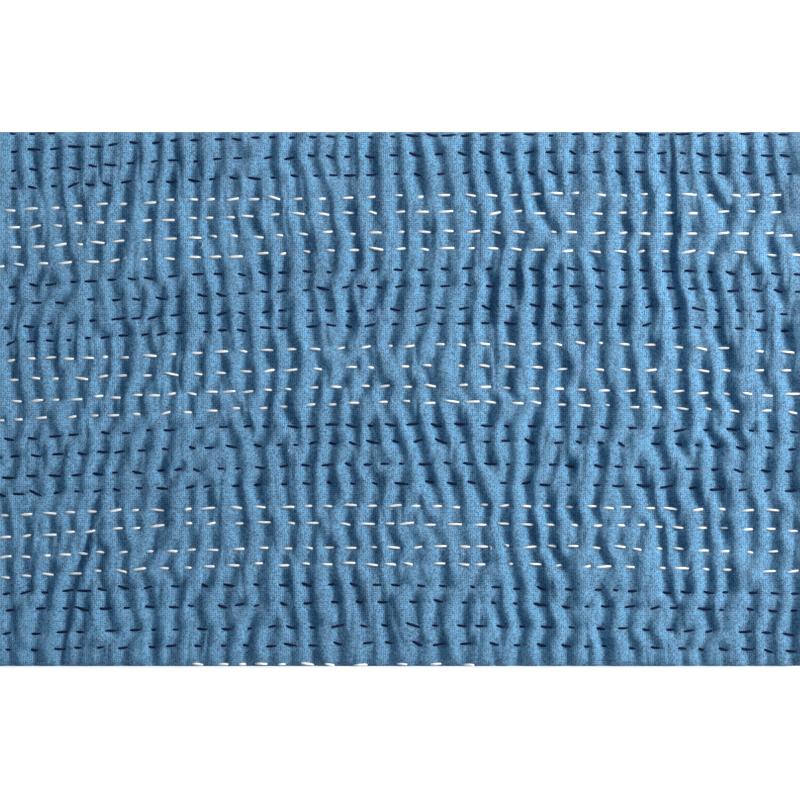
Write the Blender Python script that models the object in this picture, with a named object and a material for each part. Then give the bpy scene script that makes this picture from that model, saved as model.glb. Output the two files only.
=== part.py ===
"""Kantha quilt: a cut length of blue cotton, drawn into puckers by rows of running stitch."""
import bpy
import bmesh
import numpy as np

MM = 0.001

# The cut length
LENGTH = 300.0
WIDTH = 200.0

# Height of the cloth above the surface it lies on, in its deepest groove and on a full ridge
GROOVE_HEIGHT = 1.0
RIDGE_HEIGHT = 3.0
# A groove with no depth at all would lie this much higher than the deepest one
GROOVE_LIFT = 0.9
DEEPEST_FOLD = 1.3

# A ridge this wide stands at full height, and a narrower one stands lower
FULL_RIDGE_WIDTH = 8.0
# Folds nearer to each other than this run as one groove
MERGE_GAP = 1.6
# A fold that ends inside the cloth fades out over this length
FADE_LENGTH = 9.0
# The sewn rows hold the ridges down, and the cloth puffs up between them
SEWN_PUFF = 0.72
FREE_PUFF = 1.0
# The narrowest ridge still stands this far above the deepest groove
LEAST_RISE = 0.5
# The cut ends lie like a shallow fold
EDGE_DEPTH = 0.45

# A groove is met by a curved line in this many rounds of closing in on it
CROSSING_ROUNDS = 6

# Where along a ridge, from one groove to the next, its upper points stand
SEWN_CREST = (0.5,)
FREE_CREST = (0.33, 0.68)

# Each sewn row, far edge first: its distance from the middle line, at five places
# evenly spaced from the left end to the right end
SEWN_ROWS = (
    {"thread": "navy", "y": (92.4, 96.9, 98.4, 98.9, 98.6)},
    {"thread": "navy", "y": (85.1, 89.4, 91.3, 92.2, 90.7)},
    {"thread": "navy", "y": (78.6, 82.0, 84.2, 84.9, 84.0)},
    {"thread": "white", "y": (70.5, 74.3, 75.7, 76.6, 75.9)},
    {"thread": "white", "y": (64.1, 67.7, 69.9, 69.6, 69.8)},
    {"thread": "white", "y": (56.3, 60.2, 62.4, 62.1, 61.5)},
    {"thread": "white", "y": (49.9, 53.0, 56.3, 55.3, 54.2)},
    {"thread": "navy", "y": (41.8, 46.5, 48.2, 48.5, 46.3)},
    {"thread": "navy", "y": (35.3, 38.7, 42.2, 42.1, 40.1)},
    {"thread": "navy", "y": (26.3, 31.8, 33.6, 34.9, 31.9)},
    {"thread": "navy", "y": (20.6, 25.3, 27.9, 27.8, 25.3)},
    {"thread": "white", "y": (14.3, 17.1, 19.9, 20.6, 17.1)},
    {"thread": "white", "y": (6.9, 9.6, 12.2, 11.3, 10.1)},
    {"thread": "white", "y": (-1.1, 2.1, 4.9, 3.2, 1.2)},
    {"thread": "white", "y": (-8.1, -4.5, -1.2, -2.4, -5.3)},
    {"thread": "navy", "y": (-15.6, -10.9, -9.8, -10.4, -12.4)},
    {"thread": "navy", "y": (-22.0, -18.3, -16.0, -16.3, -18.8)},
    {"thread": "navy", "y": (-29.7, -26.3, -24.1, -25.1, -27.1)},
    {"thread": "navy", "y": (-35.9, -32.9, -31.3, -32.3, -34.7)},
    {"thread": "white", "y": (-43.5, -40.9, -39.9, -40.7, -42.0)},
    {"thread": "white", "y": (-51.8, -46.7, -46.9, -47.2, -49.5)},
    {"thread": "white", "y": (-59.3, -56.5, -55.4, -55.5, -57.9)},
    {"thread": "white", "y": (-66.9, -62.5, -61.7, -62.6, -64.6)},
    {"thread": "navy", "y": (-73.1, -69.9, -69.4, -71.6, -72.9)},
    {"thread": "navy", "y": (-79.1, -77.6, -75.8, -77.6, -79.5)},
    {"thread": "navy", "y": (-87.8, -86.0, -84.6, -85.7, -87.9)},
    {"thread": "navy", "y": (-93.7, -92.4, -91.5, -92.6, -94.5)},
)

# Each fold's groove: the height across the cloth where it starts, its depth against the
# others, and where it lies from left to right at every 25 mm from there towards the near edge
FOLD_STEP = 25.0
FOLDS = (
    {"top": 100, "depth": 0.8, "x": (-144, -144.5, -143.5, -145.5, -143, -146, -147.5, -147, -146.5)},
    {"top": 100, "depth": 0.7, "x": (-136.5, -137.5, -134.5, -137.5, -135, -137, -139.5, -140)},
    {"top": 100, "depth": 0.8, "x": (-129, -128.5, -126, -130, -128.5, -128, -130.5, -133, -137)},
    {"top": 100, "depth": 0.8, "x": (-122, -120.5, -120, -122.5, -125)},
    {"top": 100, "depth": 0.6, "x": (-112.5, -117)},
    {"top": 100, "depth": 0.8, "x": (-107, -110.5, -115.5, -114.5, -120.5, -124)},
    {"top": 25, "depth": 0.8, "x": (-110.5, -112, -119, -124)},
    {"top": 100, "depth": 1.0, "x": (-99, -103.5, -107.5, -103, -106.5, -111, -116.5, -123, -126.5)},
    {"top": 50, "depth": 0.7, "x": (-99.5, -98)},
    {"top": 100, "depth": 0.9, "x": (-90.5, -93, -95, -93, -97, -106, -104.5, -102.5, -104)},
    {"top": 100, "depth": 0.9, "x": (-84.5, -86, -85, -84.5, -86.5, -88, -92, -94, -89.5)},
    {"top": -15, "depth": 0.7, "x": (-96, -98.5, -97.5, -98)},
    {"top": 100, "depth": 0.9, "x": (-77, -76, -75, -71.5, -70, -72.5, -71.5, -72.5, -76)},
    {"top": 0, "depth": 0.8, "x": (-72.5, -76.5, -79, -79, -80)},
    {"top": -75, "depth": 0.6, "x": (-84, -85.5)},
    {"top": -50, "depth": 0.9, "x": (-114.5, -110.5, -103)},
    {"top": -67, "depth": 0.8, "x": (-118, -120)},
    {"top": 100, "depth": 0.9, "x": (-65.5, -71.5, -68, -66, -67.5, -61.5, -60.5, -64, -65)},
    {"top": 100, "depth": 0.7, "x": (-60.5, -62.5, -61.5)},
    {"top": 75, "depth": 0.8, "x": (-57.5, -58, -59, -56.5, -56)},
    {"top": 100, "depth": 0.9, "x": (-53, -54.5, -50.5, -49.5, -50, -53, -51.5, -54, -58.5)},
    {"top": 100, "depth": 0.9, "x": (-49, -47, -44, -45, -46.5)},
    {"top": 30, "depth": 0.9, "x": (-37.5, -43, -43.5, -41, -43, -41)},
    {"top": 0, "depth": 0.6, "x": (-42, -36.5)},
    {"top": -72, "depth": 0.6, "x": (-48.5, -47)},
    {"top": 100, "depth": 0.9, "x": (-41, -38.5, -34.5, -32, -32.5, -34.5, -33.5, -34.5, -33)},
    {"top": 100, "depth": 0.8, "x": (-33, -29.5, -25)},
    {"top": 100, "depth": 0.7, "x": (-27, -23)},
    {"top": 100, "depth": 0.9, "x": (-20, -19.5, -17, -20.5, -25, -26, -27.5, -24, -24.5)},
    {"top": 20, "depth": 0.9, "x": (-17, -18, -18, -18.5, -14.5)},
    {"top": 100, "depth": 0.9, "x": (-11.5, -11, -9, -12.5, -11.5, -10.5, -10, -7, -4)},
    {"top": 100, "depth": 0.9, "x": (-2.5, 0, 0, -2.5, -5.5, 0, -2.5, -1.5, 2)},
    {"top": 25, "depth": 0.9, "x": (2.5, 3, 9.5, 17)},
    {"top": 100, "depth": 0.9, "x": (5, 7.5, 9.5, 8.5, 11.5, 18.5, 21)},
    {"top": -70, "depth": 0.7, "x": (5, 7)},
    {"top": -55, "depth": 0.7, "x": (17, 14.5, 13)},
    {"top": 100, "depth": 0.8, "x": (14.5, 16.5, 17.5, 15, 20, 26, 25, 25, 24.5)},
    {"top": 100, "depth": 1.0, "x": (22.5, 27.5, 26, 23.5, 25)},
    {"top": 100, "depth": 1.1, "x": (31, 35, 34, 31.5, 32.5, 34.5, 30.5, 27.5)},
    {"top": -55, "depth": 0.8, "x": (35, 37, 35)},
    {"top": 100, "depth": 1.0, "x": (39, 43, 42.5, 41, 39.5, 40.5, 39, 44, 44.5)},
    {"top": 100, "depth": 1.1, "x": (48.5, 51, 50.5, 51.5, 50, 48.5, 48, 53, 54)},
    {"top": -27, "depth": 1.1, "x": (53.5, 56.5, 61.5)},
    {"top": 100, "depth": 0.9, "x": (56.5, 58.5, 58.5, 59, 60, 62, 65, 63.5, 63)},
    {"top": 100, "depth": 0.9, "x": (66.5, 64, 63.5, 67, 68, 67.5)},
    {"top": 100, "depth": 0.9, "x": (74, 75, 74, 74, 76.5, 75, 74, 76, 75)},
    {"top": 100, "depth": 1.0, "x": (82, 83.5, 84, 83, 86.5, 89.5, 96.5, 101.5, 101)},
    {"top": -12, "depth": 0.7, "x": (82.5, 82, 85, 86)},
    {"top": 100, "depth": 1.0, "x": (90.5, 91, 91, 93, 94.5, 99, 103, 107.5, 106.5)},
    {"top": 100, "depth": 1.3, "x": (98.5, 100, 100, 105.5, 104.5, 106.5)},
    {"top": 100, "depth": 0.7, "x": (106, 108, 108.5, 113)},
    {"top": 100, "depth": 1.1, "x": (112.5, 115.5, 116, 119.5, 123.5, 127)},
    {"top": 20, "depth": 1.1, "x": (114, 114.5, 119, 121, 120)},
    {"top": -25, "depth": 1.0, "x": (110, 113, 115.5, 112)},
    {"top": 100, "depth": 0.9, "x": (119.5, 120.5, 123, 127)},
    {"top": 100, "depth": 0.9, "x": (129.5, 131, 133.5, 134.5, 137, 138, 139, 140, 137)},
    {"top": -27, "depth": 0.8, "x": (129, 130.5, 132, 129)},
    {"top": 100, "depth": 0.9, "x": (137.5, 139.5, 140.5, 144, 147, 146, 147.5, 147, 146)},
    {"top": 100, "depth": 0.6, "x": (143, 146.5)},
)

CLOTH_BLUE = (0.088, 0.205, 0.345, 1.0)
CLOTH_ROUGHNESS = 0.92


def clear_scene():
    for old in list(bpy.data.objects):
        bpy.data.objects.remove(old, do_unlink=True)


def through(values, place):
    """Smooth curve through evenly spaced values; place counts in steps from the first."""
    padded = np.concatenate(([2 * values[0] - values[1]], values, [2 * values[-1] - values[-2]]))
    step = int(np.clip(np.floor(place), 0, len(values) - 2))
    t = place - step
    before, start, end, after = padded[step:step + 4]
    bend = 2 * before - 5 * start + 4 * end - after
    twist = 3 * start - before - 3 * end + after
    return 0.5 * (2 * start + (end - before) * t + bend * t * t + twist * t ** 3)


def row_y(row, x):
    """Height across the cloth of a sewn row at x."""
    values = row["y"]
    return through(values, (x / LENGTH + 0.5) * (len(values) - 1))


def fold_x(fold, y):
    """Left-to-right place of a fold's groove at height y."""
    return through(fold["x"], (fold["top"] - y) / FOLD_STEP)


def fold_strength(fold, y):
    """Depth of a fold at height y, fading where it ends inside the cloth."""
    bottom = fold["top"] - FOLD_STEP * (len(fold["x"]) - 1)
    above = (fold["top"] - y) / FADE_LENGTH if fold["top"] < WIDTH / 2 else 1.0
    below = (y - bottom) / FADE_LENGTH if bottom > -WIDTH / 2 else 1.0
    return fold["depth"] * min(1.0, above, below)


def crossings(path):
    """Grooves met by a line across the cloth, left to right: (fold number, x, strength)."""
    met = [("left edge", -LENGTH / 2, EDGE_DEPTH)]
    for number, fold in enumerate(FOLDS):
        bottom = fold["top"] - FOLD_STEP * (len(fold["x"]) - 1)
        x = fold["x"][0]
        for _ in range(CROSSING_ROUNDS):
            x = fold_x(fold, np.clip(path(x), bottom, fold["top"]))
        strength = fold_strength(fold, path(x))
        if strength > 0:
            met.append((number, x, strength))
    met.append(("right edge", LENGTH / 2, EDGE_DEPTH))
    met.sort(key=lambda groove: groove[1])
    return merge_close(met)


def merge_close(met):
    """Keep the deeper of two grooves that run together, and the cloth's own edges."""
    kept = [met[0]]
    for groove in met[1:]:
        if groove[1] - kept[-1][1] >= MERGE_GAP:
            kept.append(groove)
        elif groove[0] == "right edge":
            kept[-1] = groove
        elif kept[-1][0] != "left edge" and groove[2] > kept[-1][2]:
            kept[-1] = groove
    return kept


def groove_height(strength):
    """Height of the cloth in a groove of this strength."""
    return GROOVE_HEIGHT + GROOVE_LIFT * (1.0 - strength / DEEPEST_FOLD)


def ridge_height(gap, puff):
    """Height of the ridge that fills the gap between two grooves."""
    rise = (RIDGE_HEIGHT - GROOVE_HEIGHT) * puff * min(1.0, gap / FULL_RIDGE_WIDTH)
    return GROOVE_HEIGHT + max(rise, LEAST_RISE)


def section(path, puff, crest_places):
    """Points of one line across the cloth, and the place of each groove in it by name."""
    grooves = crossings(path)
    points = []
    for (name, x, strength), (_, next_x, _) in zip(grooves[:-1], grooves[1:]):
        points.append((x, groove_height(strength)))
        gap = next_x - x
        for place in crest_places:
            points.append((x + place * gap, ridge_height(gap, puff)))
    points.append((grooves[-1][1], groove_height(grooves[-1][2])))
    placed = [(x, path(x), z) for x, z in points]
    named = {name: x for name, x, strength in grooves}
    return placed, named


def all_sections():
    """Every line across the cloth, far edge first: the edges, the rows, and between the rows."""
    near_edge = {"y": (-WIDTH / 2,) * 5}
    far_edge = {"y": (WIDTH / 2,) * 5}
    lines = [section(lambda x: row_y(far_edge, x), SEWN_PUFF, SEWN_CREST)]
    for row, following in zip(SEWN_ROWS, SEWN_ROWS[1:] + (near_edge,)):
        midway = {"y": [(a + b) / 2 for a, b in zip(row["y"], following["y"])]}
        lines.append(section(lambda x: row_y(row, x), SEWN_PUFF, SEWN_CREST))
        lines.append(section(lambda x: row_y(midway, x), FREE_PUFF, FREE_CREST))
    lines.append(section(lambda x: row_y(near_edge, x), SEWN_PUFF, SEWN_CREST))
    return lines


def join_lines(mesh, upper, upper_named, lower, lower_named):
    """Fill the strip between two lines with triangles that run along the shared grooves."""
    shared = [name for name in upper_named if name in lower_named]
    shared.sort(key=lambda name: upper_named[name])
    numbers = np.arange(len(shared))
    upper_x = [upper_named[name] for name in shared]
    lower_x = [lower_named[name] for name in shared]
    along_upper = np.interp([vert.co.x / MM for vert in upper], upper_x, numbers)
    along_lower = np.interp([vert.co.x / MM for vert in lower], lower_x, numbers)
    i = 0
    j = 0
    while i < len(upper) - 1 or j < len(lower) - 1:
        if j == len(lower) - 1:
            step_upper = True
        elif i == len(upper) - 1:
            step_upper = False
        else:
            step_upper = along_upper[i + 1] + along_upper[i] < along_lower[j + 1] + along_lower[j]
        if step_upper:
            mesh.faces.new((upper[i], lower[j], upper[i + 1]))
            i += 1
        else:
            mesh.faces.new((upper[i], lower[j], lower[j + 1]))
            j += 1


def quilt_mesh():
    """Closed body: puckered upper face, straight cut sides and a flat underside."""
    mesh = bmesh.new()
    lines = []
    for points, named in all_sections():
        verts = [mesh.verts.new((x * MM, y * MM, z * MM)) for x, y, z in points]
        lines.append((verts, named))
    for (upper, upper_named), (lower, lower_named) in zip(lines[:-1], lines[1:]):
        join_lines(mesh, upper, upper_named, lower, lower_named)

    half_length = LENGTH / 2 * MM
    half_width = WIDTH / 2 * MM
    far_left = mesh.verts.new((-half_length, half_width, 0.0))
    far_right = mesh.verts.new((half_length, half_width, 0.0))
    near_left = mesh.verts.new((-half_length, -half_width, 0.0))
    near_right = mesh.verts.new((half_length, -half_width, 0.0))
    far_edge = lines[0][0]
    near_edge = lines[-1][0]
    left_edge = [verts[0] for verts, named in lines]
    right_edge = [verts[-1] for verts, named in lines]
    mesh.faces.new(far_edge + [far_right, far_left])
    mesh.faces.new(list(reversed(near_edge)) + [near_left, near_right])
    mesh.faces.new(list(reversed(left_edge)) + [far_left, near_left])
    mesh.faces.new(right_edge + [near_right, far_right])
    mesh.faces.new((far_left, far_right, near_right, near_left))
    bmesh.ops.recalc_face_normals(mesh, faces=mesh.faces)
    return mesh


def cloth_material():
    material = bpy.data.materials.new("blue_cotton")
    material.use_nodes = True
    shader = material.node_tree.nodes["Principled BSDF"]
    shader.inputs["Base Color"].default_value = CLOTH_BLUE
    shader.inputs["Roughness"].default_value = CLOTH_ROUGHNESS
    shader.inputs["Metallic"].default_value = 0.0
    return material


def build_quilt():
    data = bpy.data.meshes.new("quilt_cloth")
    mesh = quilt_mesh()
    mesh.to_mesh(data)
    mesh.free()
    data.materials.append(cloth_material())
    quilt = bpy.data.objects.new("quilt_cloth", data)
    bpy.context.scene.collection.objects.link(quilt)
    return quilt


clear_scene()
build_quilt()
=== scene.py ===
# A cut length of kantha quilt: blue cotton drawn into wavy puckers by rows of running stitch.
# Sizes are in millimetres, and each mesh turns them into metres as it is made.
import math
import random

import bpy
import numpy as np
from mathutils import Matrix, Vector


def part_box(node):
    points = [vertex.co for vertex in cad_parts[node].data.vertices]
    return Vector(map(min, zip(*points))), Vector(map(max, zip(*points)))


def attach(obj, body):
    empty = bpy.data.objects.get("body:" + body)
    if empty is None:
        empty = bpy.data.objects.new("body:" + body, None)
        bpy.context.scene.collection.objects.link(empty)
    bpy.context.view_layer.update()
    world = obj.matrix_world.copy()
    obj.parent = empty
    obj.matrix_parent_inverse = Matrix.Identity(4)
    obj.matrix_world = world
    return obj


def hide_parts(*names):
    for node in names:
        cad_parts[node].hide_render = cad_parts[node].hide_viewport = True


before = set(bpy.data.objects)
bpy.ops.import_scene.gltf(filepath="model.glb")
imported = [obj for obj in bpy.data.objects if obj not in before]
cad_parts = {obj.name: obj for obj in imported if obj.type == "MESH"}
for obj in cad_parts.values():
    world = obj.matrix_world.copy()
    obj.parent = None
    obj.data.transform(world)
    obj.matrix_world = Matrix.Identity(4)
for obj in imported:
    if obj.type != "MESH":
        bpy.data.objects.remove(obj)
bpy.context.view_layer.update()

mm = 0.001
clothLow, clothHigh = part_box("quilt_cloth")
clothLength = round((clothHigh[0] - clothLow[0]) / mm, 2)
clothWidth = round((clothHigh[1] - clothLow[1]) / mm, 2)
clothTop = round(clothHigh[2] / mm, 2)
print("frame loaded: cloth", round(clothLength), "x", round(clothWidth), "mm")

# Each sewn row, far edge first: its distance from the middle line at five even places from left
# to right, how many stitches show, and where every sixth of them lies, with the last one
rowSteps = 4
stitchStep = 6
sewnRows = (
    {"thread": "navy", "y": (92.4, 96.9, 98.4, 98.9, 98.6), "count": 39,
     "sixths": (-144, -99, -54, -10, 32, 82, 129, 144)},
    {"thread": "navy", "y": (85.1, 89.4, 91.3, 92.2, 90.7), "count": 37,
     "sixths": (-144, -100, -51, -3, 47, 97, 144)},
    {"thread": "navy", "y": (78.6, 82.0, 84.2, 84.9, 84.0), "count": 38,
     "sixths": (-144, -102, -54, -10, 40, 89, 138, 147)},
    {"thread": "white", "y": (70.5, 74.3, 75.7, 76.6, 75.9), "count": 35,
     "sixths": (-148, -94, -47, 8, 59, 109, 142)},
    {"thread": "white", "y": (64.1, 67.7, 69.9, 69.6, 69.8), "count": 33,
     "sixths": (-145, -96, -48, 9, 63, 121, 142)},
    {"thread": "white", "y": (56.3, 60.2, 62.4, 62.1, 61.5), "count": 34,
     "sixths": (-144, -95, -45, 10, 65, 120, 144)},
    {"thread": "white", "y": (49.9, 53.0, 56.3, 55.3, 54.2), "count": 34,
     "sixths": (-150, -97, -43, 9, 62, 117, 148)},
    {"thread": "navy", "y": (41.8, 46.5, 48.2, 48.5, 46.3), "count": 37,
     "sixths": (-146, -101, -52, -1, 50, 100, 149)},
    {"thread": "navy", "y": (35.3, 38.7, 42.2, 42.1, 40.1), "count": 37,
     "sixths": (-144, -89, -44, 1, 51, 101, 150)},
    {"thread": "navy", "y": (26.3, 31.8, 33.6, 34.9, 31.9), "count": 36,
     "sixths": (-149, -99, -51, -2, 50, 104, 145)},
    {"thread": "navy", "y": (20.6, 25.3, 27.9, 27.8, 25.3), "count": 37,
     "sixths": (-146, -104, -59, -9, 41, 92, 145)},
    {"thread": "white", "y": (14.3, 17.1, 19.9, 20.6, 17.1), "count": 34,
     "sixths": (-147, -102, -50, 5, 59, 111, 145)},
    {"thread": "white", "y": (6.9, 9.6, 12.2, 11.3, 10.1), "count": 31,
     "sixths": (-146, -94, -39, 21, 84, 142)},
    {"thread": "white", "y": (-1.1, 2.1, 4.9, 3.2, 1.2), "count": 36,
     "sixths": (-144, -99, -57, -6, 50, 104, 147)},
    {"thread": "white", "y": (-8.1, -4.5, -1.2, -2.4, -5.3), "count": 34,
     "sixths": (-150, -98, -43, 10, 61, 117, 147)},
    {"thread": "navy", "y": (-15.6, -10.9, -9.8, -10.4, -12.4), "count": 35,
     "sixths": (-148, -94, -40, 4, 59, 114, 149)},
    {"thread": "navy", "y": (-22.0, -18.3, -16.0, -16.3, -18.8), "count": 37,
     "sixths": (-150, -105, -54, -9, 39, 93, 148)},
    {"thread": "navy", "y": (-29.7, -26.3, -24.1, -25.1, -27.1), "count": 37,
     "sixths": (-146, -99, -51, -6, 41, 90, 145)},
    {"thread": "navy", "y": (-35.9, -32.9, -31.3, -32.3, -34.7), "count": 35,
     "sixths": (-150, -105, -54, 2, 55, 108, 146)},
    {"thread": "white", "y": (-43.5, -40.9, -39.9, -40.7, -42.0), "count": 35,
     "sixths": (-149, -100, -43, 6, 55, 101, 141)},
    {"thread": "white", "y": (-51.8, -46.7, -46.9, -47.2, -49.5), "count": 35,
     "sixths": (-148, -99, -40, 11, 66, 114, 147)},
    {"thread": "white", "y": (-59.3, -56.5, -55.4, -55.5, -57.9), "count": 36,
     "sixths": (-148, -103, -50, -2, 49, 96, 140)},
    {"thread": "white", "y": (-66.9, -62.5, -61.7, -62.6, -64.6), "count": 34,
     "sixths": (-148, -97, -45, 3, 61, 114, 147)},
    {"thread": "navy", "y": (-73.1, -69.9, -69.4, -71.6, -72.9), "count": 35,
     "sixths": (-147, -104, -44, 8, 63, 116, 149)},
    {"thread": "navy", "y": (-79.1, -77.6, -75.8, -77.6, -79.5), "count": 34,
     "sixths": (-144, -93, -44, 14, 70, 121, 149)},
    {"thread": "navy", "y": (-87.8, -86.0, -84.6, -85.7, -87.9), "count": 34,
     "sixths": (-147, -91, -39, 12, 66, 118, 144)},
    {"thread": "navy", "y": (-93.7, -92.4, -91.5, -92.6, -94.5), "count": 34,
     "sixths": (-146, -95, -40, 16, 70, 121, 147)},
)

# Rows that wander off the cut edges, so only part of each is on the cloth
cutRows = (
    {"thread": "navy", "y": (98.9, 100.5, 101, 101, 101), "count": 3, "sixths": (-146, -132)},
    {"thread": "white", "y": (-101, -99.5, -99.2, -99.6, -101), "count": 11,
     "sixths": (-75, -29, 28)},
)

# Each fold's groove: the height across the cloth where it starts, its depth against the
# others, and where it lies from left to right at every 25 mm from there towards the near edge.
# The cloth is drawn in more towards its right end, so each fold's depth is shifted by the
# stretch of the cloth that its middle lies in: (where the stretch ends, shift).
foldStep = 25
depthShifts = ((-100, -0.18), (-60, -0.15), (0, -0.05), (40, 0), (math.inf, 0.1))
folds = (
    {"top": 100, "depth": 0.8, "x": (-144, -144.5, -143.5, -145.5, -143, -146, -147.5, -147, -146.5)},
    {"top": 100, "depth": 0.7, "x": (-136.5, -137.5, -134.5, -137.5, -135, -137, -139.5, -140)},
    {"top": 100, "depth": 0.8, "x": (-129, -128.5, -126, -130, -128.5, -128, -130.5, -133, -137)},
    {"top": 100, "depth": 0.8, "x": (-122, -120.5, -120, -122.5, -125)},
    {"top": 100, "depth": 0.6, "x": (-112.5, -117)},
    {"top": 100, "depth": 0.8, "x": (-107, -110.5, -115.5, -114.5, -120.5, -124)},
    {"top": 25, "depth": 0.8, "x": (-110.5, -112, -119, -124)},
    {"top": 100, "depth": 1, "x": (-99, -103.5, -107.5, -103, -106.5, -111, -116.5, -123, -126.5)},
    {"top": 50, "depth": 0.7, "x": (-99.5, -98)},
    {"top": 100, "depth": 0.9, "x": (-90.5, -93, -95, -93, -97, -106, -104.5, -102.5, -104)},
    {"top": 100, "depth": 0.9, "x": (-84.5, -86, -85, -84.5, -86.5, -88, -92, -94, -89.5)},
    {"top": -15, "depth": 0.7, "x": (-96, -98.5, -97.5, -98)},
    {"top": 100, "depth": 0.9, "x": (-77, -76, -75, -71.5, -70, -72.5, -71.5, -72.5, -76)},
    {"top": 0, "depth": 0.8, "x": (-72.5, -76.5, -79, -79, -80)},
    {"top": -75, "depth": 0.6, "x": (-84, -85.5)},
    {"top": -50, "depth": 0.9, "x": (-114.5, -110.5, -103)},
    {"top": -67, "depth": 0.8, "x": (-118, -120)},
    {"top": 100, "depth": 0.9, "x": (-65.5, -71.5, -68, -66, -67.5, -61.5, -60.5, -64, -65)},
    {"top": 100, "depth": 0.7, "x": (-60.5, -62.5, -61.5)},
    {"top": 75, "depth": 0.8, "x": (-57.5, -58, -59, -56.5, -56)},
    {"top": 100, "depth": 0.9, "x": (-53, -54.5, -50.5, -49.5, -50, -53, -51.5, -54, -58.5)},
    {"top": 100, "depth": 0.9, "x": (-49, -47, -44, -45, -46.5)},
    {"top": 30, "depth": 0.9, "x": (-37.5, -43, -43.5, -41, -43, -41)},
    {"top": 0, "depth": 0.6, "x": (-42, -36.5)},
    {"top": -72, "depth": 0.6, "x": (-48.5, -47)},
    {"top": 100, "depth": 0.9, "x": (-41, -38.5, -34.5, -32, -32.5, -34.5, -33.5, -34.5, -33)},
    {"top": 100, "depth": 0.8, "x": (-33, -29.5, -25)},
    {"top": 100, "depth": 0.7, "x": (-27, -23)},
    {"top": 100, "depth": 0.9, "x": (-20, -19.5, -17, -20.5, -25, -26, -27.5, -24, -24.5)},
    {"top": 20, "depth": 0.9, "x": (-17, -18, -18, -18.5, -14.5)},
    {"top": 100, "depth": 0.9, "x": (-11.5, -11, -9, -12.5, -11.5, -10.5, -10, -7, -4)},
    {"top": 100, "depth": 0.9, "x": (-2.5, 0, 0, -2.5, -5.5, 0, -2.5, -1.5, 2)},
    {"top": 25, "depth": 0.9, "x": (2.5, 3, 9.5, 17)},
    {"top": 100, "depth": 0.9, "x": (5, 7.5, 9.5, 8.5, 11.5, 18.5, 21)},
    {"top": -70, "depth": 0.7, "x": (5, 7)},
    {"top": -55, "depth": 0.7, "x": (17, 14.5, 13)},
    {"top": 100, "depth": 0.8, "x": (14.5, 16.5, 17.5, 15, 20, 26, 25, 25, 24.5)},
    {"top": 100, "depth": 1, "x": (22.5, 27.5, 26, 23.5, 25)},
    {"top": 100, "depth": 1.1, "x": (31, 35, 34, 31.5, 32.5, 34.5, 30.5, 27.5)},
    {"top": -55, "depth": 0.8, "x": (35, 37, 35)},
    {"top": 100, "depth": 1, "x": (39, 43, 42.5, 41, 39.5, 40.5, 39, 44, 44.5)},
    {"top": 100, "depth": 1.1, "x": (48.5, 51, 50.5, 51.5, 50, 48.5, 48, 53, 54)},
    {"top": -27, "depth": 1.1, "x": (53.5, 56.5, 61.5)},
    {"top": 100, "depth": 0.9, "x": (56.5, 58.5, 58.5, 59, 60, 62, 65, 63.5, 63)},
    {"top": 100, "depth": 0.9, "x": (66.5, 64, 63.5, 67, 68, 67.5)},
    {"top": 100, "depth": 0.9, "x": (74, 75, 74, 74, 76.5, 75, 74, 76, 75)},
    {"top": 100, "depth": 1, "x": (82, 83.5, 84, 83, 86.5, 89.5, 96.5, 101.5, 101)},
    {"top": -12, "depth": 0.7, "x": (82.5, 82, 85, 86)},
    {"top": 100, "depth": 1, "x": (90.5, 91, 91, 93, 94.5, 99, 103, 107.5, 106.5)},
    {"top": 100, "depth": 1.3, "x": (98.5, 100, 100, 105.5, 104.5, 106.5)},
    {"top": 100, "depth": 0.7, "x": (106, 108, 108.5, 113)},
    {"top": 100, "depth": 1.1, "x": (112.5, 115.5, 116, 119.5, 123.5, 127)},
    {"top": 20, "depth": 1.1, "x": (114, 114.5, 119, 121, 120)},
    {"top": -25, "depth": 1, "x": (110, 113, 115.5, 112)},
    {"top": 100, "depth": 0.9, "x": (119.5, 120.5, 123, 127)},
    {"top": 100, "depth": 0.9, "x": (129.5, 131, 133.5, 134.5, 137, 138, 139, 140, 137)},
    {"top": -27, "depth": 0.8, "x": (129, 130.5, 132, 129)},
    {"top": 100, "depth": 0.9, "x": (137.5, 139.5, 140.5, 144, 147, 146, 147.5, 147, 146)},
    {"top": 100, "depth": 0.6, "x": (143, 146.5)},
)


def shiftedDepth(fold):
    middle = sum(fold["x"]) / len(fold["x"])
    shift = next(shift for end, shift in depthShifts if middle < end)
    return round(fold["depth"] + shift, 2)


folds = [dict(fold, depth=shiftedDepth(fold)) for fold in folds]

# Creases pressed into the cloth, laid out like the folds but each with its own reach
creases = (
    {"top": 100, "depth": 0.7, "reach": 1.6, "x": (101.5, 101.5, 101.7, 104)},
    {"top": 56, "depth": 0.5, "reach": 1.4, "x": (43.9, 44.3)},
    {"top": 56, "depth": 0.4, "reach": 1.4, "x": (52.5, 51.5)},
    {"top": 48, "depth": 0.5, "reach": 1.6, "x": (34, 35, 36)},
    {"top": 33, "depth": 0.5, "reach": 1.5, "x": (112, 127)},
    {"top": -33, "depth": 0.25, "reach": 0.8, "x": (-112, -118.7, -124.3, -128)},
    {"top": -63, "depth": 0.25, "reach": 0.8, "x": (-113.5, -105.5)},
)

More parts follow.
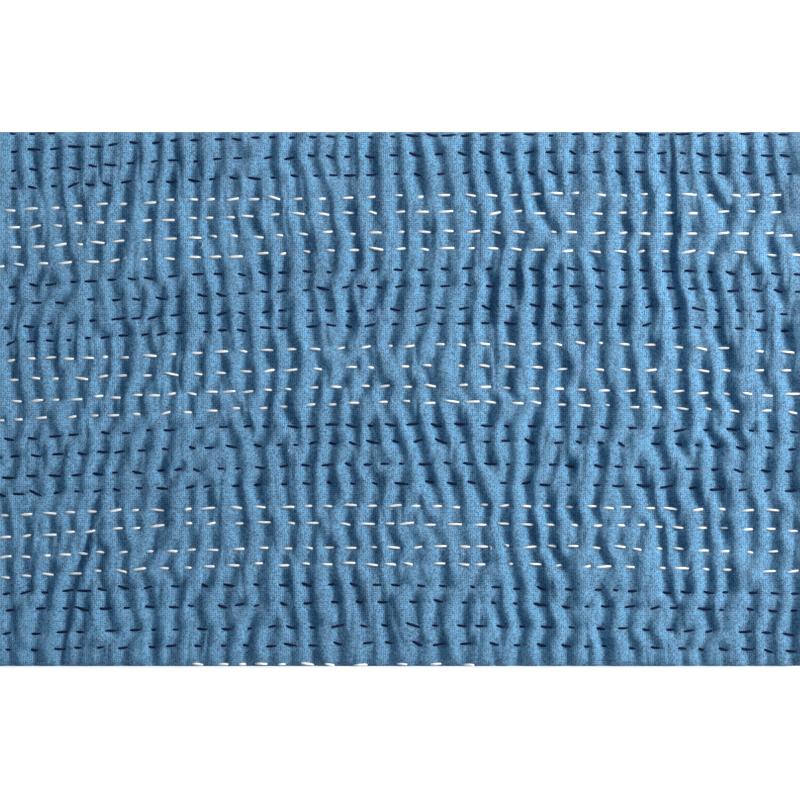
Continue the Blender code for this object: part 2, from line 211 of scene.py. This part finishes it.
quilt = {
    "columns": 520,  # faces along the rows; the underside has half as many
    "sewnSteps": (0.0, 0.12, 0.37, 0.63, 0.88),  # mesh lines from one row to the next
    "edgeSteps": (0.0, 0.25, 0.5, 0.75),  # mesh lines from a cut edge to its nearest row
    "thickness": 1.0,
    "openHeight": 4.5,  # height of the cloth where no fold pulls at it
    "foldDepth": 2.62,
    "foldReach": 3.2,  # how far to each side a fold draws the cloth down
    "foldPower": 1.3,  # 1 for sharp grooves, 2 for round ones
    "foldRound": 0.04,  # roundness of a groove's bottom, as a part of its reach
    "crestPower": 3,  # 1 for round crests between the grooves, more for sharper ones
    "leastDepth": 0.1,  # a fold shallower than this where it meets a row draws no stitch
    "fadeLength": 9,  # a crease that ends inside the cloth fades over this length
    "grooveLimit": 1.0,  # the lowest that a groove may come
    "grooveSoftness": 0.08,
    "rowHold": 0.12,  # the part of the height that a sewn row takes off a ridge
    "rowReach": 1.5,
    "sway": 0.45,  # sideways unevenness of the grooves
    "unevenDepth": 0.2,
    "leastPull": 0.66,  # depth of a groove through stitches that no fold in the table passes
    "pullSpread": 0.12,
    "widestJoin": 6.5,  # stitches further apart than this sideways share no groove
    "lumps": 0.10,  # small bumps of the cloth itself
    "crinkle": 0.7,  # depth of the small puckers between the folds
    "crinkleSharpness": 2.2,
    "crinkleLimit": 1.1,  # no small puckers where the grooves pull more than this
    "smoothAngle": 75,  # degrees; the cut sides stay sharp
    "edgeDrop": 0.5,  # the part of its height that the cloth loses at its far and near edges
    "edgeReach": 2.5,
}

stitches = {
    "half": {"white": 2.05, "navy": 1.7},  # half of the thread that shows in one stitch
    "halfSpread": 0.5,
    "shortest": 0.85,
    "longest": 2.9,
    "lean": {"white": 0, "navy": -4},  # degrees that the stitches turn from their row
    "leanSpread": {"white": 5.5, "navy": 9},
    "stray": 0.22,  # how far a stitch may lie off its row's line
    "pullToFold": 0.6,  # how much of the way to a near fold a stitch slips
    "pullReach": 4.5,
    "besideFold": -0.25,  # where it aims for, from the fold's own place
    "leastSpacing": 6.3,  # stitches that come nearer than this are moved apart
    "spreads": 4,  # times over
    "bedWidth": 0.7,  # the cloth is pressed flat this far to each side of a stitch
    "bedPress": 0.4,
    "bedReach": 6,  # nothing further than this along the row is pressed
    "bedOverrun": 0.6,
    "bedFade": 0.8,
    "bedLift": 0.1,
    "holeDepth": 0.25,
    "holeReach": 0.55,
    "seed": 27,
}


def bend(before, start, end, after, t):
    # Smooth curve from start to end as t goes from 0 to 1
    return 0.5 * (2 * start + (end - before) * t
                  + (2 * before - 5 * start + 4 * end - after) * t**2
                  + (3 * start - before - 3 * end + after) * t**3)


def through(values, place):
    # Smooth curve through evenly spaced values; place counts in steps from the first
    before = 2 * values[0] - values[1]
    after = 2 * values[-1] - values[-2]
    padded = np.array((before, *values, after))
    place = np.clip(place, 0, len(values) - 1)
    step = np.clip(np.floor(place).astype(int), 0, len(values) - 2)
    return bend(*(padded[step + k] for k in range(4)), place - step)


def rowHeight(row, x):
    return through(row["y"], (x / clothLength + 0.5) * rowSteps)


# Bumps of each kind of unevenness: their length along and across the rows, and a seed
unevenness = {
    "grooveSway": (14, 9, 5),
    "grooveDepth": (9, 14, 6),
    "creaseSway": (25, 12, 7),
    "puckerSway": (20, 9, 43),
    "puckers": (11, 50, 41),
    "lumps": (7, 7, 77),
}
rippleWaves = 7
rippleStretch = (0.7, 1.5)


def ripples(x, y, kind):
    # Smooth unevenness of about -1 to 1
    alongX, alongY, seed = unevenness[kind]
    rng = random.Random(seed)
    total = 0 * x
    for _ in range(rippleWaves):
        turn = rng.uniform(0, math.tau)
        phase = rng.uniform(0, math.tau)
        stretch = rng.uniform(*rippleStretch)
        across = x * math.cos(turn) / alongX + y * math.sin(turn) / alongY
        total = total + np.sin(math.tau * across / stretch + phase)
    return total / math.sqrt(rippleWaves)


def foldPlace(fold, y):
    return through(fold["x"], (fold["top"] - y) / foldStep)


def foldStrength(fold, y):
    # Full along the fold, fading where it ends inside the cloth
    bottom = fold["top"] - foldStep * (len(fold["x"]) - 1)
    above = (fold["top"] - y) / quilt["fadeLength"] if fold["top"] < clothWidth / 2 else 1
    below = (y - bottom) / quilt["fadeLength"] if bottom > -clothWidth / 2 else 1
    return fold["depth"] * np.clip(np.minimum(above, below), 0, 1)


crossingRounds = 4


def crossing(fold, row):
    # Where a fold crosses a row, and its depth there
    x = fold["x"][0]
    for _ in range(crossingRounds):
        y = float(rowHeight(row, x))
        x = float(foldPlace(fold, y))
    return x, float(foldStrength(fold, y))


def foldDrift(upper, lower):
    # Where the folds cross the upper of two rows, and how far right each has gone at the lower
    drifts = []
    for fold in folds:
        x, depth = crossing(fold, upper)
        lowerX, lowerDepth = crossing(fold, lower)
        if min(depth, lowerDepth) > quilt["leastDepth"]:
            drifts.append((x, lowerX - x))
    return np.array(sorted(drifts)).T


def nearestStitch(row, x):
    return min(range(len(row)), key=lambda number: abs(row[number]["x"] - x))


def joinStitches(rows):
    # Grooves between each two neighbouring rows: every stitch is joined to the one in the next
    # row that lies nearest along the folds, and a join that only one of the two would choose
    # fades towards the other. A stitch with none near has a groove that runs on and fades.
    gaps = []
    for number, (upper, lower) in enumerate(zip(rows[:-1], rows[1:])):
        places, drifts = foldDrift(sewnRows[number], sewnRows[number + 1])
        down = {(k, nearestStitch(lower, stitch["x"] + np.interp(stitch["x"], places, drifts)))
                for k, stitch in enumerate(upper)}
        up = {(nearestStitch(upper, stitch["x"] - np.interp(stitch["x"], places, drifts)), k)
              for k, stitch in enumerate(lower)}
        for first, last in down & up:
            upper[first]["below"] = lower[last]["x"]
            lower[last]["above"] = upper[first]["x"]
        joins = []
        for k, m in sorted(down | up):
            a, b = upper[k], lower[m]
            if abs(a["x"] - b["x"]) < quilt["widestJoin"]:
                joins.append((a, b, (k, m) in down, (k, m) in up))
            elif (k, m) in down:
                joins.append((a, a, True, False))
            else:
                joins.append((b, b, False, True))
        gaps.append(joins)
    first = [(stitch, stitch, True, True) for stitch in rows[0]]
    last = [(stitch, stitch, True, True) for stitch in rows[-1]]
    return [first, *gaps, last]


def stitchGrooves(x, y, gaps, places):
    # How strongly the grooves through the stitches draw the cloth down; places gives the gap
    # between rows that each mesh line is in and how far down it lies
    pull = 0 * x
    for number, (gap, part) in enumerate(places):
        joins = gaps[gap]
        ends = [(a.get("above", a["x"]), a["x"], b["x"], b.get("below", b["x"]))
                for a, b, _, _ in joins]
        place = bend(*np.array(ends).T, part)
        depth = np.array([(1 - part) * a["pull"] * down + part * b["pull"] * up
                          for a, b, down, up in joins])
        height = np.interp(place, x[number], y[number])
        place = place + quilt["sway"] * ripples(place, height, "grooveSway")
        depth = depth * (1 + quilt["unevenDepth"] * ripples(place, height, "grooveDepth"))
        away = np.hypot((x[number] - place[:, None]) / quilt["foldReach"], quilt["foldRound"])
        each = depth[:, None] * np.exp(-(away ** quilt["foldPower"]))
        power = quilt["crestPower"]
        pull[number] = np.sum(each**power, axis=0) ** (1 / power)
    return pull


def creasePull(x, y):
    # The same for the creases pressed into the cloth
    pull = 0 * x
    for crease in creases:
        place = foldPlace(crease, y) + quilt["sway"] * ripples(x, y, "creaseSway")
        away = np.abs(x - place) / crease["reach"]
        pull = pull + foldStrength(crease, y) * np.exp(-(away ** quilt["foldPower"]))
    return pull


def softFloor(z, limit, soft):
    return soft * np.logaddexp(z / soft, limit / soft)


def nearRow(x, y):
    # 1 on a sewn row, falling to 0 between the rows
    near = 0 * x
    for row in sewnRows:
        near = np.maximum(near, np.exp(-(((y - rowHeight(row, x)) / quilt["rowReach"]) ** 2)))
    return near


def clothHeight(x, y, pull):
    # Upper face of the cloth before the stitches press into it
    z = quilt["openHeight"] - quilt["foldDepth"] * pull
    aside = quilt["sway"] * ripples(x, y, "puckerSway")
    pucker = np.exp(-quilt["crinkleSharpness"] * np.abs(ripples(x + aside, y, "puckers")))
    z = z - quilt["crinkle"] * pucker * np.clip(quilt["crinkleLimit"] - pull, 0, 1)
    z = softFloor(z, quilt["grooveLimit"], quilt["grooveSoftness"])
    rise = (z - quilt["grooveLimit"]) * (1 - quilt["rowHold"] * nearRow(x, y))
    toEdge = (clothWidth / 2 - np.abs(y)) / quilt["edgeReach"]
    rise = rise * (1 - quilt["edgeDrop"] * np.exp(-toEdge))
    return quilt["grooveLimit"] + rise + quilt["lumps"] * ripples(x, y, "lumps")


def stitchNumbers(row):
    # Stitch numbers whose places the row's table gives
    return [min(k * stitchStep, row["count"] - 1) for k in range(len(row["sixths"]))]


def rowStitches(row, rng):
    # Every stitch that shows in a row, left to right; each fold draws the one nearest to it
    places = np.interp(range(row["count"]), stitchNumbers(row), row["sixths"])
    drawn = {}
    for x, depth in (crossing(fold, row) for fold in folds):
        if depth < quilt["leastDepth"]:
            continue
        slips = x + stitches["besideFold"] - places
        number = int(np.argmin(np.abs(slips)))
        slip = float(slips[number])
        if abs(slip) < min(stitches["pullReach"], abs(drawn.get(number, (math.inf, 0))[0])):
            drawn[number] = slip, depth

    for number, (slip, depth) in drawn.items():
        places[number] += stitches["pullToFold"] * slip
    for _ in range(stitches["spreads"]):
        tooNear = np.clip(stitches["leastSpacing"] - np.diff(places), 0, None) / 2
        places += np.append(0, tooNear) - np.append(tooNear, 0)

    sewn = []
    lean = stitches["lean"][row["thread"]]
    leanSpread = stitches["leanSpread"][row["thread"]]
    for number, x in enumerate(places.tolist()):
        y = float(rowHeight(row, x))
        depth = drawn.get(number, (0, 0))[1]
        pull = max(quilt["leastPull"], depth)
        half = stitches["half"][row["thread"]] + rng.gauss(0, stitches["halfSpread"])
        half = min(max(half, stitches["shortest"]), stitches["longest"])
        slope = math.atan2(float(rowHeight(row, x + 1) - rowHeight(row, x - 1)), 2)
        sewn.append({
            "x": x,
            "y": y + rng.gauss(0, stitches["stray"]),
            "half": half,
            "tilt": slope + math.radians(rng.gauss(lean, leanSpread)),
            "pull": pull * (1 + rng.gauss(0, quilt["pullSpread"])),
        })
    return sewn


def along(stitch, part):
    # Point of a stitch, from -1 at its left hole to 1 at its right one
    reach = part * stitch["half"]
    x = stitch["x"] + reach * math.cos(stitch["tilt"])
    return x, stitch["y"] + reach * math.sin(stitch["tilt"])


def pressStitches(x, y, z, sewn):
    # Beds the stitches: flat under the thread, with a dimple at each needle hole
    for stitch in sewn:
        ends = stitch["x"] - stitches["bedReach"], stitch["x"] + stitches["bedReach"]
        column = np.searchsorted(x[0], ends)
        near = slice(None), slice(column[0], column[1])
        dx = x[near] - stitch["x"]
        dy = y[near] - stitch["y"]
        u = dx * math.cos(stitch["tilt"]) + dy * math.sin(stitch["tilt"])
        v = dy * math.cos(stitch["tilt"]) - dx * math.sin(stitch["tilt"])
        sideways = np.exp(-((v / stitches["bedWidth"]) ** 2))
        overrun = stitch["half"] + stitches["bedOverrun"] - np.abs(u)
        lengthways = np.clip(overrun / stitches["bedFade"], 0, 1)
        press = stitches["bedPress"] * sideways * lengthways
        middle = np.argmin(np.hypot(dx, dy))
        bed = float(z[near].flat[middle]) + stitches["bedLift"]
        z[near] = z[near] + press * np.minimum(bed - z[near], 0)
        for side in (-1, 1):
            away = np.hypot(u - side * stitch["half"], v) / stitches["holeReach"]
            z[near] -= stitches["holeDepth"] * np.exp(-(away**2))


def meshLines(x):
    # Heights across the cloth of every mesh line, near edge first, at each x, and for each line
    # the gap between rows that it is in, counted from the far edge, and how far down it lies
    edge = np.full_like(x, clothWidth / 2)
    rows = [-edge, *(rowHeight(row, x) for row in reversed(sewnRows)), edge]
    lines, places = [], []
    for number, (lower, upper) in enumerate(zip(rows[:-1], rows[1:])):
        outer = number in (0, len(rows) - 2)
        for step in quilt["edgeSteps"] if outer else quilt["sewnSteps"]:
            lines.append(lower + (upper - lower) * step)
            places.append((len(rows) - 2 - number, 1 - step))
    return np.array(lines + [edge]), places + [(0, 0)]


def addGrid(name, points):
    # Grid of faces through rows of points in millimetres
    lines, columns = points.shape[:2]
    bpy.ops.object.select_all(action="DESELECT")
    bpy.ops.mesh.primitive_grid_add(
        x_subdivisions=columns - 1, y_subdivisions=lines - 1, size=1, calc_uvs=False
    )
    grid = bpy.context.object
    grid.name = grid.data.name = name
    grid.data.vertices.foreach_set("co", (points * mm).ravel())
    grid.data.update()
    return grid


def buildQuilt(rows):
    x = np.linspace(-clothLength / 2, clothLength / 2, quilt["columns"] + 1)
    y, places = meshLines(x)
    x = np.tile(x, (len(y), 1))
    pull = stitchGrooves(x, y, joinStitches(rows), places) + creasePull(x, y)
    z = clothHeight(x, y, pull)
    for row in rows:
        pressStitches(x, y, z, row)
    upper = addGrid("quilt_sheet", np.stack((x, y, z), axis=2))

    # The underside follows the lowest upper points round each of its own, a thickness below
    padded = np.pad(z, 1, mode="edge")
    lines, columns = z.shape
    around = [padded[i:i + lines, j:j + columns] for i in range(3) for j in range(3)]
    below = np.maximum(np.min(around, axis=0) - quilt["thickness"], 0)
    lower = addGrid("underside", np.stack((x, y, below), axis=2)[::2, ::2])
    bpy.ops.object.mode_set(mode="EDIT")
    bpy.ops.mesh.flip_normals()
    bpy.ops.object.mode_set(mode="OBJECT")

    lower.select_set(True)
    upper.select_set(True)
    bpy.context.view_layer.objects.active = upper
    bpy.ops.object.join()
    bpy.ops.object.mode_set(mode="EDIT")
    bpy.ops.mesh.select_mode(type="EDGE")
    bpy.ops.mesh.select_all(action="DESELECT")
    bpy.ops.mesh.select_non_manifold()
    bpy.ops.mesh.bridge_edge_loops()
    bpy.ops.object.mode_set(mode="OBJECT")
    bpy.ops.object.shade_smooth_by_angle(angle=math.radians(quilt["smoothAngle"]))
    return upper


rayStart = 20  # well clear of the cloth
heightsOffCloth = (2.0, 1.0)


def surfaceHeights(cloth, x, y):
    # Height of the cloth's upper face and underside at a point, in millimetres
    up = Vector((0, 0, 1))
    hitTop, top, _, _ = cloth.ray_cast(Vector((x, y, rayStart)) * mm, -up)
    hitBottom, bottom, _, _ = cloth.ray_cast(Vector((x, y, -rayStart)) * mm, up)
    if not (hitTop and hitBottom):
        return heightsOffCloth
    return top.z / mm, bottom.z / mm


thread = {
    "radius": {"white": 0.46, "navy": 0.49},
    "flatness": 0.55,  # height of a thread against its width
    "over": ((-1, -0.4, 0.6), (-0.85, 0.02, 0.85), (-0.4, 0.1, 1.0), (0, 0.12, 1.08),
             (0.4, 0.1, 1.0), (0.85, 0.02, 0.85), (1, -0.4, 0.6)),  # place, lift, thickness
    "bearings": (-0.85, 0.85),  # where a stitch bears on the cloth, so it spans what is between
    "under": (0.15, 0.5, 0.85),
    "underDrop": 0.25,
    "underThickness": 0.85,
    "edgeInset": 0.15,
    "mergeGap": 0.001,
}


def threadPath(cloth, sewn):
    # Points (x, y, z, thickness) of one row's thread, over and under the cloth
    points = []
    edge = clothLength / 2 - thread["edgeInset"]
    for number, stitch in enumerate(sewn):
        heights = [surfaceHeights(cloth, *along(stitch, part))[0] for part in thread["bearings"]]
        for part, lift, thickness in thread["over"]:
            x, y = along(stitch, part)
            x = min(max(x, -edge), edge)
            top, _ = surfaceHeights(cloth, x, y)
            level = np.interp(part, thread["bearings"], heights)
            points.append((x, y, max(top, level) + lift, thickness))
        if number + 1 < len(sewn):
            startX, startY = along(stitch, 1)
            endX, endY = along(sewn[number + 1], -1)
            for part in thread["under"]:
                x = startX + (endX - startX) * part
                y = startY + (endY - startY) * part
                _, bottom = surfaceHeights(cloth, x, y)
                z = max(bottom - thread["underDrop"], thread["radius"]["navy"])
                points.append((x, y, z, thread["underThickness"]))
    return points


def buildThread(name, paths, radius):
    # One mesh of every thread of a colour, each a tube along its path
    curve = bpy.data.curves.new(name, "CURVE")
    curve.dimensions = "3D"
    curve.bevel_depth = radius * mm
    curve.bevel_resolution = 1
    curve.use_fill_caps = True
    for path in paths:
        spline = curve.splines.new("POLY")
        spline.points.add(len(path) - 1)
        for point, (x, y, z, thickness) in zip(spline.points, path):
            point.co = (x * mm, y * mm, z / thread["flatness"] * mm, 1)
            point.radius = thickness
    tube = bpy.data.objects.new(name, curve)
    bpy.context.scene.collection.objects.link(tube)
    bpy.ops.object.select_all(action="DESELECT")
    tube.select_set(True)
    bpy.context.view_layer.objects.active = tube
    bpy.ops.object.convert(target="MESH")
    tube = bpy.context.object
    tube.scale.z = thread["flatness"]  # squashes the round thread, whose path was made taller
    bpy.ops.object.transform_apply(location=False, rotation=False, scale=True)
    bpy.ops.object.mode_set(mode="EDIT")
    bpy.ops.mesh.select_all(action="SELECT")
    bpy.ops.mesh.remove_doubles(threshold=thread["mergeGap"] * mm)
    bpy.ops.object.mode_set(mode="OBJECT")
    bpy.ops.object.shade_smooth()
    return tube


# Bits of white lint caught on the cloth: place, length and direction in degrees
lint = (
    {"x": -73.9, "y": 57.0, "length": 3.2, "turn": 60},
    {"x": -102.8, "y": 52.5, "length": 2.0, "turn": 20},
    {"x": -41.6, "y": -19.4, "length": 1.4, "turn": 75},
    {"x": 34.1, "y": -55.7, "length": 2.0, "turn": 100},
)
fibre = {
    "radius": 0.12,
    "parts": (-0.5, -0.2, 0.15, 0.5),
    "curl": 50,  # degrees from end to end
}


def lintPath(cloth, bit):
    points = []
    for part in fibre["parts"]:
        angle = math.radians(bit["turn"] + fibre["curl"] * part)
        x = bit["x"] + part * bit["length"] * math.cos(angle)
        y = bit["y"] + part * bit["length"] * math.sin(angle)
        top, _ = surfaceHeights(cloth, x, y)
        points.append((x, y, top + fibre["radius"], 1 - abs(part)))
    return points


class NodeMaker:
    # Adds shader nodes to a material and joins them up
    def __init__(self, name):
        self.material = bpy.data.materials.new(name)
        self.material.use_nodes = True
        self.tree = self.material.node_tree
        self.shader = self.tree.nodes["Principled BSDF"]

    def add(self, kind, settings=(), **inputs):
        node = self.tree.nodes.new(kind)
        for key, value in dict(settings).items():
            setattr(node, key, value)
        for key, value in inputs.items():
            self.feed(node.inputs[key.replace("_", " ")], value)
        return node

    def feed(self, socket, value):
        if isinstance(value, bpy.types.NodeSocket):
            self.tree.links.new(value, socket)
        else:
            socket.default_value = value

    def sum(self, operation, *values):
        node = self.tree.nodes.new("ShaderNodeMath")
        node.operation = operation
        for socket, value in zip(node.inputs, values):
            self.feed(socket, value)
        return node.outputs[0]

    def mix(self, part, first, second):
        node = self.tree.nodes.new("ShaderNodeMix")
        node.data_type = "RGBA"
        for socket, value in zip((node.inputs[0], node.inputs[6], node.inputs[7]),
                                 (part, first, second)):
            self.feed(socket, value)
        return node.outputs[2]


cotton = {
    "deep": (0.001, 0.050, 0.150, 1),
    "pale": (0.104, 0.352, 0.655, 1),
    "threadPitch": 0.37,
    "wander": 0.4,  # how far a thread strays sideways, in threads
    "streak": 0.9,  # length over which one thread keeps its shade
    "weaveShade": 0.10,
    "crossingShade": 0.7,
    "ribShade": 0.20,  # how much paler every other upright thread is
    "barShade": 0.12,  # and every other level one
    "uprightShade": 1.5,
    "levelShade": 0.3,
    "cloudShade": 0.45,
    "bump": 0.10,  # depth of the weave
    "speckBump": 1.0,  # unevenness of its crossings against it
    "creaseBump": 5.0,  # depth of the small creases against it
    "strayScale": 600,
    "cloudScale": 30,
    "creaseScale": (420, 150, 150),
    "threadApart": 7.31,  # keeps the drift of one thread's shade apart from the next one's
    "roughness": 0.5,
    "specular": 0.65,
    "sheen": 0.1,
    "sheenRoughness": 0.5,
}


def cottonMaterial():
    make = NodeMaker("blue_cotton")
    place = make.add("ShaderNodeTexCoord").outputs["Object"]
    axes = make.add("ShaderNodeSeparateXYZ", Vector=place)
    stray = make.add("ShaderNodeTexNoise", Vector=place, Scale=cotton["strayScale"], Detail=1)
    strays = make.add("ShaderNodeSeparateColor", Color=stray.outputs["Color"])

    # Which upright and which level thread lies here, counted across the cloth
    counts = []
    for axis, colour in (("X", "Red"), ("Y", "Green")):
        even = make.sum("DIVIDE", axes.outputs[axis], cotton["threadPitch"] * mm)
        counts.append(make.sum("MULTIPLY_ADD", strays.outputs[colour], cotton["wander"], even))
    numbers = [make.sum("FLOOR", count) for count in counts]
    waves = [make.sum("SINE", make.sum("MULTIPLY", count, math.pi)) for count in counts]
    weave = make.sum("MULTIPLY", *waves)

    # Each crossing has its own shade, and each thread a shade that drifts along it
    crossing = make.add("ShaderNodeCombineXYZ", X=numbers[0], Y=numbers[1])
    speck = make.add("ShaderNodeTexWhiteNoise", {"noise_dimensions": "2D"},
                     Vector=crossing.outputs[0])
    shades = [(weave, "weaveShade", 0), (waves[0], "ribShade", 0), (waves[1], "barShade", 0),
              (speck.outputs["Value"], "crossingShade", 0.5)]
    for number, axis, weight in ((numbers[0], "Y", "uprightShade"),
                                 (numbers[1], "X", "levelShade")):
        lengthways = make.sum("DIVIDE", axes.outputs[axis], cotton["streak"] * mm)
        apart = make.sum("MULTIPLY", number, cotton["threadApart"])
        spot = make.add("ShaderNodeCombineXYZ", X=apart, Y=lengthways)
        drift = make.add("ShaderNodeTexNoise", {"noise_dimensions": "2D"},
                         Vector=spot.outputs[0], Scale=1, Detail=1)
        shades.append((drift.outputs["Fac"], weight, 0.5))
    cloud = make.add("ShaderNodeTexNoise", Vector=place, Scale=cotton["cloudScale"], Detail=3)
    shades.append((cloud.outputs["Fac"], "cloudShade", 0.5))

    shade = make.add("ShaderNodeValue").outputs[0]
    shade.default_value = 0.5 - sum(cotton[weight] * middle for _, weight, middle in shades)
    for source, weight, _ in shades:
        shade = make.sum("MULTIPLY_ADD", source, cotton[weight], shade)
    make.feed(make.shader.inputs["Base Color"], make.mix(shade, cotton["deep"], cotton["pale"]))

    # Soft creases too small for the mesh, longer across the rows than along them
    stretched = make.add("ShaderNodeMapping", Vector=place, Scale=cotton["creaseScale"])
    crease = make.add("ShaderNodeTexNoise", Vector=stretched.outputs[0], Scale=1, Detail=2)
    height = make.sum("MULTIPLY_ADD", speck.outputs["Value"], cotton["speckBump"], weave)
    height = make.sum("MULTIPLY_ADD", crease.outputs["Fac"], cotton["creaseBump"], height)
    bump = make.add("ShaderNodeBump", Height=height, Distance=cotton["bump"] * mm)
    make.feed(make.shader.inputs["Normal"], bump.outputs[0])
    make.feed(make.shader.inputs["Roughness"], cotton["roughness"])
    make.feed(make.shader.inputs["Specular IOR Level"], cotton["specular"])
    make.feed(make.shader.inputs["Sheen Weight"], cotton["sheen"])
    make.feed(make.shader.inputs["Sheen Roughness"], cotton["sheenRoughness"])
    return make.material


# The dark colour of each thread is painted shade in the grooves between its twisted plies, mixed with
# the fuzz's own random tone; twistShade sets how deep that painted shade is.
threadLooks = {
    "white": {"dark": (0.83, 0.84, 0.96, 1), "light": (1.0, 1.0, 1.0, 1), "sheen": 0.3},
    "navy": {"dark": (0.001, 0.003, 0.020, 1), "light": (0.003, 0.014, 0.085, 1), "sheen": 0.0},
}
spun = {
    "twistLength": 1.3,
    "twistShade": 0.22,
    "fuzzScale": 2400,
    "bump": 0.08,
    "roughness": 0.8,
    "specular": 0.2,
}


def threadMaterial(shadeName):
    look = threadLooks[shadeName]
    make = NodeMaker(shadeName + "_cotton_thread")
    place = make.add("ShaderNodeTexCoord")
    axes = make.add("ShaderNodeSeparateXYZ", Vector=place.outputs["UV"])
    turn = make.sum("MULTIPLY", axes.outputs["X"], math.tau)
    turns = math.tau * clothLength / spun["twistLength"]
    spiral = make.sum("MULTIPLY_ADD", axes.outputs["Y"], turns, turn)
    fuzz = make.add("ShaderNodeTexNoise", Vector=place.outputs["Object"],
                    Scale=spun["fuzzScale"], Detail=2)
    # Painted shade: the twist's spiral darkens the colour along the grooves between the plies, and
    # the fuzz adds random tone; the same spiral shapes the bump
    level = make.sum("MULTIPLY_ADD", make.sum("SINE", spiral), spun["twistShade"],
                     fuzz.outputs["Fac"])
    make.feed(make.shader.inputs["Base Color"], make.mix(level, look["dark"], look["light"]))
    bump = make.add("ShaderNodeBump", Height=level, Distance=spun["bump"] * mm)
    make.feed(make.shader.inputs["Normal"], bump.outputs[0])
    make.feed(make.shader.inputs["Roughness"], spun["roughness"])
    make.feed(make.shader.inputs["Specular IOR Level"], spun["specular"])
    make.feed(make.shader.inputs["Sheen Weight"], look["sheen"])
    return make.material


paleFloor = {
    "dull": (0.93, 0.93, 0.93, 1),
    "bright": (0.97, 0.97, 0.97, 1),
    "cloudScale": 9,
    "roughness": 0.9,
    "glow": 0.75,  # keeps the floor white under the dim, low light
}


def floorMaterial():
    make = NodeMaker("pale_floor")
    place = make.add("ShaderNodeTexCoord").outputs["Object"]
    cloud = make.add("ShaderNodeTexNoise", Vector=place, Scale=paleFloor["cloudScale"], Detail=3)
    tone = make.mix(cloud.outputs["Fac"], paleFloor["dull"], paleFloor["bright"])
    make.feed(make.shader.inputs["Base Color"], tone)
    make.feed(make.shader.inputs["Roughness"], paleFloor["roughness"])
    make.feed(make.shader.inputs["Emission Color"], (1, 1, 1, 1))
    make.feed(make.shader.inputs["Emission Strength"], paleFloor["glow"])
    return make.material


studio = {
    "floorSize": 6.0,  # metres
    "keyDistance": 1.2,  # metres
    "keySize": 0.7,  # metres
    "keyPower": 39,  # watts
    "keyColour": (1.0, 0.94, 0.83),
    "keyHeight": 23,  # degrees above the floor
    "keyTurn": 20,  # degrees from the cloth's right end towards its far edge
    "keyAim": (0, 0.4, 0),  # metres; past the far edge, so the near one is a little darker
    "skyColour": (0.60, 0.88, 1.04, 1),
    "skyStrength": 0.225,
    "lens": 180,  # millimetres
    "seenWidth": 0.2992,  # metres across the picture
    "aimY": -0.0004,  # metres
}


def addFloor():
    bpy.ops.mesh.primitive_plane_add(size=studio["floorSize"])
    floor = bpy.context.object
    floor.name = "floor"
    floor.data.materials.append(floorMaterial())


def addLights():
    height = math.radians(studio["keyHeight"])
    turn = math.radians(studio["keyTurn"])
    toKey = Vector((math.cos(height) * math.cos(turn), math.cos(height) * math.sin(turn),
                    math.sin(height)))
    bpy.ops.object.light_add(type="AREA", location=toKey * studio["keyDistance"])
    key = bpy.context.object
    key.name = "key_light"
    key.data.energy = studio["keyPower"]
    key.data.color = studio["keyColour"]
    key.data.shape = "DISK"
    key.data.size = studio["keySize"]
    away = key.location - Vector(studio["keyAim"])
    key.rotation_euler = away.to_track_quat("Z", "Y").to_euler()

    sky = bpy.data.worlds.new("soft_sky")
    sky.use_nodes = True
    background = sky.node_tree.nodes["Background"]
    background.inputs["Color"].default_value = studio["skyColour"]
    background.inputs["Strength"].default_value = studio["skyStrength"]
    bpy.context.scene.world = sky


def addCamera():
    data = bpy.data.cameras.new("camera")
    data.lens = studio["lens"]
    height = studio["seenWidth"] * data.lens / data.sensor_width
    camera = bpy.data.objects.new("camera", data)
    camera.location = (0, studio["aimY"], height + clothTop * mm)
    bpy.context.scene.collection.objects.link(camera)
    bpy.context.scene.camera = camera


rng = random.Random(stitches["seed"])
sewn = [rowStitches(row, rng) for row in sewnRows + cutRows]
print("stitches placed:", sum(len(row) for row in sewn))

cloth = buildQuilt(sewn[:len(sewnRows)])
cloth.data.materials.append(cottonMaterial())
print("quilt sheet made:", len(cloth.data.polygons), "faces")

threads = {}
for shadeName in ("white", "navy"):
    paths = []
    for row, stitched in zip(sewnRows + cutRows, sewn):
        if row["thread"] == shadeName:
            paths.append(threadPath(cloth, stitched))
    threads[shadeName] = buildThread(
        shadeName + "_running_stitch", paths, thread["radius"][shadeName]
    )
    threads[shadeName].data.materials.append(threadMaterial(shadeName))
    print(shadeName, "thread made:", len(threads[shadeName].data.polygons), "faces")

fluff = buildThread("white_lint", [lintPath(cloth, bit) for bit in lint], fibre["radius"])
fluff.data.materials.append(threadMaterial("white"))
print("lint made")

for piece in (cloth, threads["white"], threads["navy"], fluff):
    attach(piece, "root")
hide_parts("quilt_cloth")

addFloor()
addLights()
addCamera()
bpy.context.scene.view_settings.view_transform = "Standard"
print("studio set")
